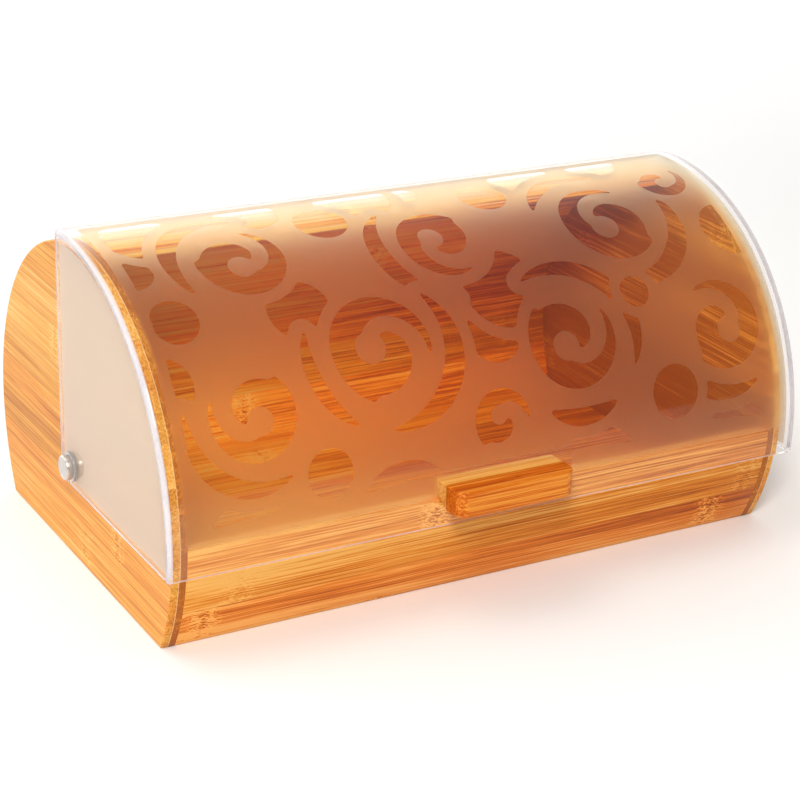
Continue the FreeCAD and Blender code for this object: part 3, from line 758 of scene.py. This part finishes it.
def make_case():
    side_panel(-1, "side_panel_left", "left_side_panel")
    side_panel(1, "side_panel_right", "right_side_panel")
    ro, ri = R_CASE, R_CASE - T_FRONT
    # front board
    outer = arc_pts(ro, front_deg(ro, FRONT_TOP_Z), front_deg(ro, 0.0), 44)
    inner = arc_pts(ri, front_deg(ri, 0.0), front_deg(ri, FRONT_TOP_Z), 44)
    poly = outer + inner
    poly = round_corners(poly, {0: 1.2, 44: 0.6, 45: 0.4, 89: 1.2})
    ob = sweep_x("front_board_curved", ccw(poly), -182.0, 182.0, bamboo_front, "case", end_edge=0.2)
    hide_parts("front_board")
    # back shell, from the lip over the top and down to the table
    ri = R_CASE - T_REAR
    f0, f1 = math.degrees(math.asin(-REAR_EDGE_Y / ro)), math.degrees(math.asin(-REAR_EDGE_Y / ri))
    b0, b1 = -front_deg(ro, 0.0), -front_deg(ri, 0.0)
    outer = arc_pts(ro, f0, b0, 120)
    inner = arc_pts(ri, b1, f1, 120)
    poly = outer + inner
    poly = round_corners(poly, {0: 1.0, 120: 0.5, 121: 0.4, 241: 1.0})
    ob = sweep_x("back_shell_curved", ccw(poly), -182.0, 182.0, bamboo_back, "case", end_edge=0.2)
    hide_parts("back_shell")
    # base board between them
    rf, rb = R_CASE - T_FRONT, R_CASE - T_REAR
    fr = arc_pts(rf, front_deg(rf, 0.0), front_deg(rf, 8.0), 6)
    re = arc_pts(rb, -front_deg(rb, 8.0), -front_deg(rb, 0.0), 6)
    poly = fr + re
    ob = sweep_x("base_board_flat", ccw(poly), -182.0, 182.0, bamboo_base, "case", end_edge=0.2)
    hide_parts("base_board")


make_case()

# ------------------------------------------------------------------ ornament
# A plain scroll pattern of this script's own: round windows with a curl in
# each, swelling strokes that follow them, and the gaps left between, cut clear
# in the satin ground.  x runs across the lid, s down it from its rear edge.
SMAX = 227.0
STEP = 1.0


def ornament():
    xs = np.arange(-195.5, 195.5 + 1e-6, STEP)
    ss = np.arange(0.0, SMAX + 1e-6, STEP)
    X, S = np.meshgrid(xs, ss)
    F = np.full(X.shape, 60.0)
    C = np.full(X.shape, 60.0)

    def disc(cx, cs, r):
        return np.hypot(X - cx, S - cs) - r

    def stroke(pts):
        f = np.full(X.shape, 1e3)
        for cx, cs, r in pts:
            np.minimum(f, np.hypot(X - cx, S - cs) - r, out=f)
        return f

    def swell(cx, cs, R, a0, a1, w0, w1, w2, n=44):
        out = []
        for i in range(n + 1):
            t = i / n
            a = math.radians(a0 + (a1 - a0) * t)
            w = (1 - t) ** 2 * w0 + 2 * t * (1 - t) * (2 * w1 - 0.5 * (w0 + w2)) + t * t * w2
            out.append((cx + R * math.cos(a), cs + R * math.sin(a), w))
        return out

    def curl(cx, cs, R, phi, turn, hand, w0=6.5, w1=3.2):
        out, n = [], 64
        bulb, r_in = R * 0.30, R * 0.22
        for i in range(n + 1):
            t = i / n
            a = math.radians(phi + hand * turn * t)
            k = (1 - t) ** 1.25
            r = (R + 2) * k + r_in * (1 - k)
            out.append((cx + r * math.cos(a), cs + r * math.sin(a), w0 * (1 - t) + w1 * t))
        out.append((out[-1][0], out[-1][1], bulb))
        return out

    def put(shape, gap, cut=None):
        f = np.maximum(shape, gap - F)
        c = f if cut is None else np.maximum(f, -cut)
        np.minimum(C, c, out=C)
        np.minimum(F, f, out=F)

    windows = [(-118, 62, 25, 200, 260, 1), (-62, 128, 29, 100, 270, -1), (-2, 70, 24, 330, 255, 1),
               (52, 140, 27, 240, 265, 1), (106, 72, 28, 30, 260, -1), (-142, 150, 24, 300, 255, -1),
               (150, 146, 25, 150, 250, 1), (-60, 40, 15), (44, 36, 14), (0, 176, 17, 120, 240, -1),
               (160, 44, 16, 200, 240, 1), (-168, 96, 13), (112, 178, 15), (-104, 186, 13), (100, 120, 9)]
    for w in windows:
        put(disc(*w[:3]), 7.5, stroke(curl(*w)) if len(w) > 3 else None)
    for a in [(-118, 62, 38, 150, 290, 1.0, 5.5, 0.6), (-62, 128, 42, -40, 95, 0.8, 6.0, 0.8),
              (-2, 70, 38, 100, 230, 0.6, 5.5, 1.0), (52, 140, 41, -120, 30, 0.8, 5.5, 0.8),
              (106, 72, 42, -20, 110, 0.8, 6, 0.6), (-142, 150, 37, 60, 190, 0.6, 5, 0.8),
              (150, 146, 38, 60, 180, 0.8, 5, 0.6), (-62, 128, 43, 120, 200, 0.6, 4, 1),
              (106, 72, 43, 200, 290, 0.6, 5, 1), (52, 140, 42, 60, 120, 0.6, 5, 1),
              (-60, 236, 44, 236, 300, 0.8, 5.5, 0.6), (58, 240, 46, 244, 300, 0.6, 5, 0.8),
              (150, 236, 42, 250, 300, 0.6, 4.5, 0.6), (-150, 238, 42, 240, 292, 0.6, 4.5, 0.8)]:
        put(stroke(swell(*a)), 6.5)
    for b in [(-30, 20, 22), (80, 20, 20), (-95, 20, 18), (130, 14, 16), (-160, 30, 22), (20, 105, 24),
              (-100, 100, 18), (110, 105, 20), (180, 90, 18), (-185, 130, 16), (5, 130, 16), (-30, 60, 14),
              (75, 100, 14), (-180, 60, 14), (0, 22, 10), (190, 20, 14)]:
        put(disc(*b), 7.0)

    def panel(x0, x1, s0, s1, r):
        qx = np.abs(X - (x0 + x1) / 2) - (x1 - x0) / 2 + r
        qs = np.abs(S - (s0 + s1) / 2) - (s1 - s0) / 2 + r
        return np.hypot(np.maximum(qx, 0), np.maximum(qs, 0)) + np.minimum(np.maximum(qx, qs), 0) - r

    clear = np.maximum(C, panel(-180, 180, 13, 202, 8))
    field = np.maximum(panel(-186.5, 186.5, 6, 210, 3), -clear)
    # left clear where the block is fixed behind the sheet
    field = np.maximum(field, -panel(-42, 42, 196.5, 236, 3))
    # soften corners as an etched edge has them
    k = np.exp(-0.5 * (np.arange(-3, 4) / 0.9) ** 2)
    k /= k.sum()
    pad = np.pad(field, 3, mode="edge")
    pad = sum(k[i] * pad[i:i + field.shape[0], :] for i in range(7))
    field = sum(k[i] * pad[:, i:i + field.shape[1]] for i in range(7))
    return xs, ss, field


def contour(xs, ss, F):
    """Zero line of F as points and edges, shared along grid lines."""
    neg = F < 0
    pts, key, edges = [], {}, []

    def on_x(i, j):      # between (i, j) and (i, j+1)
        k = ("x", i, j)
        if k not in key:
            a, b = F[i, j], F[i, j + 1]
            t = min(max(a / (a - b), 0.04), 0.96)
            key[k] = len(pts)
            pts.append((xs[j] + t * (xs[j + 1] - xs[j]), ss[i]))
        return key[k]

    def on_s(i, j):
        k = ("s", i, j)
        if k not in key:
            a, b = F[i, j], F[i + 1, j]
            t = min(max(a / (a - b), 0.04), 0.96)
            key[k] = len(pts)
            pts.append((xs[j], ss[i] + t * (ss[i + 1] - ss[i])))
        return key[k]
    mixed = (neg[:-1, :-1].astype(int) + neg[1:, :-1] + neg[:-1, 1:] + neg[1:, 1:])
    for i, j in zip(*np.nonzero((mixed > 0) & (mixed < 4))):
        a, b, c, d = neg[i, j], neg[i, j + 1], neg[i + 1, j + 1], neg[i + 1, j]
        cross = []
        if a != b:
            cross.append(on_x(i, j))
        if b != c:
            cross.append(on_s(i, j + 1))
        if c != d:
            cross.append(on_x(i + 1, j))
        if d != a:
            cross.append(on_s(i, j))
        if len(cross) == 2:
            edges.append(tuple(cross))
        elif len(cross) == 4:
            mid = F[i:i + 2, j:j + 2].mean() < 0
            if mid == a:
                edges += [(cross[0], cross[1]), (cross[2], cross[3])]
            else:
                edges += [(cross[3], cross[0]), (cross[1], cross[2])]
    return pts, edges


def lid_sheet():
    xs, ss, field = ornament()
    pts, edges = contour(xs, ss, field)
    ro, ri, c = R_LID, R_LID - T_LID, LID_CORNER_R
    rows = 104
    trow = [i / rows for i in range(rows + 1)]
    flat = [-193.1 + 386.2 * i / 36 for i in range(37)]
    profile = [(-195.5, ri)] + [(-193.1 - c * math.cos(math.pi / 2 * k / 8), ro - c + c * math.sin(math.pi / 2 * k / 8)) for k in range(9)]
    profile += [(x, ro) for x in flat[1:-1]]
    profile += [(193.1 + c * math.sin(math.pi / 2 * k / 8), ro - c + c * math.cos(math.pi / 2 * k / 8)) for k in range(9)] + [(195.5, ri)]
    np_ = len(profile)

    def deg(t, r):
        return -LID_REAR_DEG + t * (front_deg(r, LID_BOTTOM_Z) + LID_REAR_DEG)

    def rad(a, x=0.0, k=1.0):
        a = math.radians(a)
        return (x, -math.sin(a) * k, math.cos(a) * k)
    b = Build()
    ids = []
    for t in trow:
        ids.append(b.add([polar(x, r, deg(t, r)) for x, r in profile]))

    def pn(j):
        x, r = profile[j]
        if x < -193.1 - 1e-6:
            a = math.atan2(r - (ro - c), x + 193.1) if r >= ro - c else math.pi
            return (math.cos(a), max(math.sin(a), 0.0))
        if x > 193.1 + 1e-6:
            a = math.atan2(r - (ro - c), x - 193.1) if r >= ro - c else 0.0
            return (math.cos(a), max(math.sin(a), 0.0))
        return (0.0, 1.0)
    for i in range(rows):
        for j in list(range(9)) + list(range(np_ - 10, np_ - 1)):
            q = (ids[i][j], ids[i + 1][j], ids[i + 1][j + 1], ids[i][j + 1])
            ns = []
            for ii, jj in ((i, j), (i + 1, j), (i + 1, j + 1), (i, j + 1)):
                px, pr = pn(jj)
                if j == 0:
                    px, pr = -1.0, 0.0
                if j == np_ - 2:
                    px, pr = 1.0, 0.0
                ns.append(rad(deg(trow[ii], profile[jj][1]), px, pr))
            b.face(q, 1, ns)
    # outer face, split along the ornament
    border = [(x, 0.0) for x in flat]
    border += [(193.1, SMAX * t) for t in trow[1:]]
    border += [(x, SMAX) for x in reversed(flat[:-1])]
    border += [(-193.1, SMAX * t) for t in reversed(trow[1:-1])]
    nb = len(border)
    allp = list(border)
    alle = [(i, (i + 1) % nb) for i in range(nb)]
    k0 = len(allp)
    allp += pts
    alle += [(k0 + a, k0 + d) for a, d in edges]
    for t in trow[1:-1]:
        s = SMAX * t
        i = min(int(s / STEP), len(ss) - 2)
        for x in flat[1:-1]:
            j = min(int((x + 195.5) / STEP), len(xs) - 2)
            if abs(field[i:i + 2, j:j + 2]).min() > 0.9:
                allp.append((x, s))
    ov, oe, of, orig, _, _ = delaunay_2d_cdt([Vector(p) for p in allp], alle, [], 0, 1e-5)

    def sample(x, s):
        fx, fs = (x + 195.5) / STEP, s / STEP
        j, i = min(int(fx), len(xs) - 2), min(int(fs), len(ss) - 2)
        u, v = fx - j, fs - i
        return (field[i, j] * (1 - u) * (1 - v) + field[i, j + 1] * u * (1 - v)
                + field[i + 1, j] * (1 - u) * v + field[i + 1, j + 1] * u * v)
    frosted = []
    for f in of:
        cx = sum(ov[i][0] for i in f) / len(f)
        cs = sum(ov[i][1] for i in f) / len(f)
        frosted.append(sample(cx, cs) < 0)
    # small crumbs of either kind join what is round them
    owner = {}
    near = [[] for _ in of]
    for k, f in enumerate(of):
        for i in range(len(f)):
            e = (min(f[i], f[i - 1]), max(f[i], f[i - 1]))
            if e in owner:
                near[k].append(owner[e])
                near[owner[e]].append(k)
            else:
                owner[e] = k
    size = [abs(area2([tuple(ov[i]) for i in f])) for f in of]
    seen = [False] * len(of)
    for k in range(len(of)):
        if seen[k]:
            continue
        group, todo, kind = [], [k], frosted[k]
        seen[k] = True
        while todo:
            g = todo.pop()
            group.append(g)
            for h in near[g]:
                if not seen[h] and frosted[h] == kind:
                    seen[h] = True
                    todo.append(h)
        if sum(size[g] for g in group) < 45.0:
            for g in group:
                frosted[g] = not kind
    outer = b.add([polar(p[0], ro, deg(p[1] / SMAX, ro)) for p in ov])
    for k, f in enumerate(of):
        f = tuple(f)[::-1] if area2([tuple(ov[i]) for i in f]) > 0 else tuple(f)
        b.face([outer[i] for i in f], 2 if frosted[k] else 0,
               [rad(deg(ov[i][1] / SMAX, ro)) for i in f])
    # inner face
    xcol = [-195.5] + flat + [195.5]
    inn = [b.add([polar(x, ri, deg(t, ri)) for x in xcol]) for t in trow]
    for i in range(rows):
        for j in range(len(xcol) - 1):
            q = (inn[i][j], inn[i][j + 1], inn[i + 1][j + 1], inn[i + 1][j])
            b.face(q, 0, [tuple(-c_ for c_ in rad(deg(trow[ii], ri))) for ii in (i, i, i + 1, i + 1)])
    # rear and bottom edges
    for row, out, flip in ((inn[0], ids[0], False), (inn[-1], ids[-1], True)):
        a = [row[0], row[1]] + out[9:0:-1]
        b.face(a if flip else a[::-1], 1)
        z = [row[-2], row[-1]] + out[-2:-11:-1]
        b.face(z if flip else z[::-1], 1)
        for j in range(36):
            q = [row[1 + j], row[2 + j], out[10 + j], out[9 + j]]
            b.face(q if flip else q[::-1], 1)
    weld(b)
    ob = piece("lid_sheet_ornament", b.v, b.f, [lid_clear, lid_edge, lid_frost], "lid", b.m, finish_normals(b))
    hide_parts("lid_curved_sheet")
    return ob


def wing_outline(gap=0.06):
    """Flat side of the lid, a hair inside the curved sheet; (y, z) from the
    pin axis and the table."""
    ri = R_LID - T_LID - gap
    zb = LID_BOTTOM_Z - 60.0
    wr, fr = 12.0, 4.0
    a = math.radians(-LID_REAR_DEG)
    top = (-ri * math.sin(a), ri * math.cos(a))
    yr0 = 14.8
    dy, dz = top[0] - yr0, top[1]
    n = math.hypot(dy, dz)
    ty, tz = dy / n, dz / n
    ny, nz = -tz, ty
    cz = zb + wr
    cy = yr0 + (wr - cz * nz) / ny
    pr = (cy - wr * ny, cz - wr * nz)
    out = []
    cfz = zb + fr
    cfy = -math.sqrt((ri - fr) ** 2 - cfz ** 2)
    af = math.atan2(cfz, cfy)
    deg_f = math.degrees(math.atan2(-ri * math.cos(af), ri * math.sin(af)))
    # sheet side, from the rear end forward and down
    for i in range(109):
        g = math.radians(-LID_REAR_DEG + (deg_f + LID_REAR_DEG) * i / 108)
        out.append((-ri * math.sin(g), ri * math.cos(g)))
    # bottom front corner
    a0 = af if af < 0 else af - 2 * math.pi
    for i in range(1, 9):
        g = a0 + (-math.pi / 2 - a0) * i / 8
        out.append((cfy + fr * math.cos(g), cfz + fr * math.sin(g)))
    for i in range(1, 14):
        out.append((cfy + (cy - cfy) * i / 14, zb))
    # corner round the pin
    g1 = math.atan2(pr[1] - cz, pr[0] - cy)
    for i in range(17):
        g = -math.pi / 2 + (g1 + math.pi / 2) * i / 16
        out.append((cy + wr * math.cos(g), cz + wr * math.sin(g)))
    for i in range(1, 12):
        out.append((pr[0] + (top[0] - pr[0]) * i / 12, pr[1] + (top[1] - pr[1]) * i / 12))
    return ccw([(p[0], p[1] + 60.0) for p in out])


def lid_wing(sign, name, node):
    b = Build()
    line = wing_outline()
    e = 0.35
    hole = circle(0.0, 60.0, 4.06, 48)
    inset = shrink(line, 3.2)
    rings = []
    for k in range(4):
        a = math.pi / 2 * k / 3
        rings.append((-195.5 + e - e * math.cos(a), e - e * math.sin(a)))
    for k in range(4):
        a = math.pi / 2 * k / 3
        rings.append((-192.5 - e + e * math.sin(a), e - e * math.cos(a)))
    nrm = []
    for i, p in enumerate(line):
        a, c = line[i - 1], line[(i + 1) % len(line)]
        t = Vector((c[0] - a[0], c[1] - a[1])).normalized()
        nrm.append((t.y, -t.x))
    ids = [b.add([at(x, p[0], p[1]) for p in (shrink(line, d) if d > 0 else line)]) for x, d in rings]
    for k in range(len(rings) - 1):
        def nn(kk, i):
            if kk < 4:
                a = math.pi / 2 * kk / 3
                w = (-math.cos(a), math.sin(a))
            else:
                a = math.pi / 2 * (kk - 4) / 3
                w = (math.sin(a), math.cos(a))
            return Vector((w[0], nrm[i][0] * w[1], nrm[i][1] * w[1])).normalized()[:]
        n = len(line)
        for i in range(n):
            j = (i + 1) % n
            b.face((ids[k][i], ids[k][j], ids[k + 1][j], ids[k + 1][i]), 1, [nn(k, i), nn(k, j), nn(k + 1, j), nn(k + 1, i)])
    lo = flat_cap(b, [shrink(line, e), hole], -195.5, -1, mat=0)
    hi = flat_cap(b, [shrink(line, e), hole, inset], -192.5, 1, holes=1,
                  pick=lambda y, z: 2 if inside(inset, y, z) else 0)
    b.strip(lo[1], hi[1], mat=1)
    if sign > 0:
        b.v = [(-p[0], p[1], p[2]) for p in b.v]
        b.f = [f[::-1] for f in b.f]
        b.nf = [None if n is None else [(-q0, q1, q2) for q0, q1, q2 in n[::-1]] for n in b.nf]
    weld(b)
    ob = piece(name, b.v, b.f, [lid_clear, lid_edge, wing_frost], "lid", b.m, finish_normals(b))
    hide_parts(node)
    return ob


lid_sheet()
lid_wing(-1, "lid_wing_left", "lid_left_wing")
lid_wing(1, "lid_wing_right", "lid_right_wing")


# ------------------------------------------------------------------ handle
def handle_bar():
    b = Build()
    w, y0, rc, e = 37.0, R_LID + 13.0, 7.5, 1.0
    z0, z1 = 57.5, 72.0
    rings = []
    for k in range(6):
        a = math.pi / 2 * k / 5
        rings.append((z0 + e - e * math.cos(a), e - e * math.sin(a)))
    for k in range(1, 6):
        rings.append((z0 + e + (z1 - z0 - 2 * e) * k / 6, 0.0))
    for k in range(6):
        a = math.pi / 2 * k / 5
        rings.append((z1 - e + e * math.sin(a), e - e * math.cos(a)))
    ids = []
    for z, d in rings:
        yr = -math.sqrt((R_LID + 0.03) ** 2 - (z - 60.0) ** 2)
        r = rc - d
        cx, cy = w - rc, -(y0 - rc)
        plan = [(-(w - d), yr), (-(w - d), yr - 1.2), (-(w - d), (yr + cy) / 2 - 0.6)]
        for k in range(13):
            a = math.pi + math.pi / 2 * k / 12
            plan.append((-cx + r * math.cos(a), cy + r * math.sin(a)))
        for k in range(1, 10):
            plan.append((-cx + 2 * cx * k / 10, cy - r))
        for k in range(13):
            a = -math.pi / 2 + math.pi / 2 * k / 12
            plan.append((cx + r * math.cos(a), cy + r * math.sin(a)))
        plan += [((w - d), (yr + cy) / 2 - 0.6), ((w - d), yr - 1.2), ((w - d), yr)]
        for k in range(1, 10):
            plan.append(((w - d) - 2 * (w - d) * k / 10, yr))
        ids.append(b.add([at(x, y, z) for x, y in plan]))
    for k in range(len(ids) - 1):
        b.strip(ids[k], ids[k + 1])
    b.face(ids[0][::-1])
    b.face(ids[-1])
    ob = piece("handle_bar_bamboo", b.v, b.f, [bamboo_bar], "lid", angle=50)
    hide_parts("handle_bar")
    return ob


def stop_block():
    """The block behind the lid, with a counterbore for each screw head."""
    b = Build()
    z0, z1, e, w, yb, rc = 61.3, 71.0, 0.5, 37.0, -116.4, 2.0
    rings = []
    for k in range(4):
        a = math.pi / 2 * k / 3
        rings.append((z0 + e - e * math.cos(a), e - e * math.sin(a)))
    for k in range(1, 4):
        rings.append((z0 + e + (z1 - z0 - 2 * e) * k / 4, 0.0))
    for k in range(4):
        a = math.pi / 2 * k / 3
        rings.append((z1 - e + e * math.sin(a), e - e * math.cos(a)))
    ids = []
    for z, d in rings:
        yf = -math.sqrt((R_LID - T_LID - 0.04) ** 2 - (z - 60.0) ** 2)
        r = rc - d
        cx, cy = w - rc, yb - rc
        plan = [(w - d, yf)]
        for k in range(7):
            a = math.pi / 2 * k / 6
            plan.append((cx + r * math.cos(a), cy + r * math.sin(a)))
        for k in range(7):
            a = math.pi / 2 + math.pi / 2 * k / 6
            plan.append((-cx + r * math.cos(a), cy + r * math.sin(a)))
        plan.append((-(w - d), yf))
        for k in range(1, 8):
            plan.append((-(w - d) + 2 * (w - d) * k / 8, yf))
        ids.append(b.add([at(x, y, z) for x, y in plan]))
    for k in range(len(ids) - 1):
        b.strip(ids[k], ids[k + 1])
    b.face(ids[0][::-1])
    b.face(ids[-1])
    ob = piece("stop_block_bamboo", b.v, b.f, [bamboo_block], "lid", angle=50)
    cutters = []
    for x in (-22.0, 22.0):
        bm = bmesh.new()
        bmesh.ops.create_cone(bm, cap_ends=True, segments=40, radius1=3.9 * MM, radius2=3.9 * MM, depth=8.0 * MM,
                              matrix=Matrix.Translation(at(x, yb - 3.0 + 4.0, 65.6)) @ Matrix.Rotation(math.pi / 2, 4, "X"))
        me = bpy.data.meshes.new("bore")
        bm.to_mesh(me)
        bm.free()
        cut = bpy.data.objects.new("bore", me)
        bpy.context.scene.collection.objects.link(cut)
        cutters.append(cut)
        mod = ob.modifiers.new("bore", "BOOLEAN")
        mod.operation = "DIFFERENCE"
        mod.solver = "EXACT"
        mod.object = cut
    bpy.context.view_layer.update()
    done = bpy.data.meshes.new_from_object(ob.evaluated_get(bpy.context.evaluated_depsgraph_get()))
    ob.modifiers.clear()
    old = ob.data
    ob.data = done
    bpy.data.meshes.remove(old)
    done.name = "stop_block_bamboo"
    done.polygons.foreach_set("use_smooth", [True] * len(done.polygons))
    done.set_sharp_from_angle(angle=math.radians(40))
    for cut in cutters:
        me = cut.data
        bpy.data.objects.remove(cut)
        bpy.data.meshes.remove(me)
    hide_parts("handle_stop_block")
    return ob


handle_bar()
stop_block()


# ------------------------------------------------------------------ pins
def pivot_pin(sign, name, node):
    """Turned pin: soft rim, a shallow dish and a slightly crowned middle."""
    x0, x1 = -200.42, -197.02
    prof = [(x0 + 0.34, 0.0), (x0 + 0.345, 1.0), (x0 + 0.37, 2.6), (x0 + 0.42, 4.0), (x0 + 0.44, 4.7), (x0 + 0.36, 5.15),
            (x0 + 0.14, 5.5), (x0 + 0.02, 5.8), (x0, 6.05)]
    for k in range(1, 7):
        a = math.pi / 2 * k / 6
        prof.append((x0 + 0.95 - 0.95 * math.cos(a), 6.05 + 0.95 * math.sin(a)))
    prof += [(x1 - 0.3, 7.0), (x1 - 0.08, 6.9), (x1, 6.7), (x1, 2.3), (x1 + 0.1, 2.0), (-184.4, 2.0), (-184.0, 1.6), (-184.0, 0.0)]
    b = Build()
    n = 56
    rings = []
    for x, r in prof:
        if r == 0.0:
            rings.append(b.add([at(x, 0.0, 60.0)]))
        else:
            rings.append(b.add([at(x, r * math.cos(2 * math.pi * i / n), 60.0 + r * math.sin(2 * math.pi * i / n)) for i in range(n)]))
    for k in range(len(rings) - 1):
        a, c = rings[k], rings[k + 1]
        for i in range(n):
            j = (i + 1) % n
            if len(a) == 1:
                b.face((a[0], c[j], c[i]))
            elif len(c) == 1:
                b.face((a[i], a[j], c[0]))
            else:
                b.face((a[i], a[j], c[j], c[i]))
    if sign > 0:
        b.v = [(-p[0], p[1], p[2]) for p in b.v]
        b.f = [f[::-1] for f in b.f]
    ob = piece(name, b.v, b.f, [pin_steel], "case", angle=60)
    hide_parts(node)
    return ob


pivot_pin(-1, "pin_left", "left_pivot_screw")
pivot_pin(1, "pin_right", "right_pivot_screw")

# ------------------------------------------------------------------ carried-over CAD nodes
keep = {
    "base_board_dowels": dowel_wood, "front_board_dowels": dowel_wood, "back_shell_dowels": dowel_wood,
    "handle_screws": screw_steel,
    "left_pivot_bush": plastic, "right_pivot_bush": plastic,
    "left_pivot_spacer_washer": plastic, "right_pivot_spacer_washer": plastic,
    "left_pivot_threaded_insert": brass, "right_pivot_threaded_insert": brass,
}
for node, m in keep.items():
    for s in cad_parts[node].material_slots:
        s.material = m


# ------------------------------------------------------------------ stage
def make_floor():
    me = bpy.data.meshes.new("studio_floor")
    bm = bmesh.new()
    bmesh.ops.create_grid(bm, x_segments=24, y_segments=24, size=7.0)
    bm.to_mesh(me)
    bm.free()
    ob = bpy.data.objects.new("studio_floor", me)
    ob.location = (0.0, 2.0, -0.0003)
    bpy.context.scene.collection.objects.link(ob)
    t = Tree("floor_paper")
    x, y, z = t.place()
    c = t.ramp(t.noise(t.xyz(x, y, z), 3.0, 3.0), [(0.3, (0.93, 0.93, 0.93)), (0.7, (0.95, 0.95, 0.95))])
    p = t.shader(Base_Color=c, Roughness=0.85, Specular_IOR_Level=0.2)
    me.materials.append(t.show(p.outputs[0]))


make_floor()

scene = bpy.context.scene
world = bpy.data.worlds.new("studio")
world.use_nodes = True
scene.world = world
bg = world.node_tree.nodes["Background"]
bg.inputs["Color"].default_value = (1.0, 0.99, 0.975, 1.0)


def dome():
    """A soft white studio: brighter low down behind the object."""
    nt = world.node_tree

    def span(v, a, b, lo, hi):
        n = nt.nodes.new("ShaderNodeMapRange")
        n.interpolation_type = "SMOOTHSTEP"
        nt.links.new(v, n.inputs["Value"])
        for name, x in (("From Min", a), ("From Max", b), ("To Min", lo), ("To Max", hi)):
            n.inputs[name].default_value = x
        return n.outputs["Result"]

    def join(op, a, b):
        n = nt.nodes.new("ShaderNodeMath")
        n.operation = op
        for k, v in enumerate((a, b)):
            if isinstance(v, float):
                n.inputs[k].default_value = v
            else:
                nt.links.new(v, n.inputs[k])
        return n.outputs[0]
    xyz = nt.nodes.new("ShaderNodeSeparateXYZ")
    nt.links.new(nt.nodes.new("ShaderNodeTexCoord").outputs["Generated"], xyz.inputs[0])
    rear = join("MULTIPLY", span(xyz.outputs[1], -0.1, 0.75, 0.0, 1.0), span(xyz.outputs[2], 0.85, 0.30, 0.0, 1.0))
    left = span(xyz.outputs[0], 0.6, -0.6, 0.8, 1.08)
    base = span(xyz.outputs[1], -0.9, 0.3, FRONT, AMBIENT)
    nt.links.new(join("MULTIPLY", left, join("ADD", base, join("MULTIPLY", rear, REAR))), bg.inputs["Strength"])


FRONT, AMBIENT, REAR = 0.30, 0.56, 1.6
dome()


def lamp(name, place, look, size, watts, colour=(1.0, 1.0, 1.0)):
    data = bpy.data.lights.new(name, "AREA")
    data.shape = "RECTANGLE"
    data.size, data.size_y = size
    data.energy = watts
    data.color = colour
    ob = bpy.data.objects.new(name, data)
    ob.location = place
    d = Vector(look) - Vector(place)
    ob.rotation_euler = d.to_track_quat("-Z", "Y").to_euler()
    scene.collection.objects.link(ob)
    return ob


lamp("key_softbox", (-0.72, -1.12, 1.25), (0.0, 0.0, 0.08), (0.42, 0.42), 20.0, (1.0, 0.965, 0.92))
lamp("back_softbox", (0.0, 1.9, 2.2), (0.0, 4.6, 0.0), (4.0, 1.2), 110.0)      # whitens the floor behind
lamp("top_softbox", (-0.35, 0.35, 1.55), (0.0, 0.0, 0.08), (1.1, 0.8), 5.0, (1.0, 0.99, 0.97))

# ------------------------------------------------------------------ camera
cam = bpy.data.cameras.new("camera")
cam.lens = 98.996
cam.sensor_width = 36.0
cam.clip_start, cam.clip_end = 0.05, 50.0
camera = bpy.data.objects.new("camera", cam)
scene.collection.objects.link(camera)
az, el, roll = math.radians(-30.017), math.radians(22.374), math.radians(2.064)
back = Vector((math.sin(az) * math.cos(el), -math.cos(az) * math.cos(el), math.sin(el)))
fwd = -back
right = fwd.cross(Vector((0, 0, 1))).normalized()
up = right.cross(fwd)
r2 = math.cos(roll) * right + math.sin(roll) * up
u2 = -math.sin(roll) * right + math.cos(roll) * up
m = Matrix((r2, u2, -fwd)).transposed().to_4x4()
m.translation = Vector((-0.58478, AY - 1.02637, 0.55176))
camera.matrix_world = m
scene.camera = camera
scene.view_settings.view_transform = "Standard"
scene.view_settings.look = "None"

bpy.context.view_layer.update()
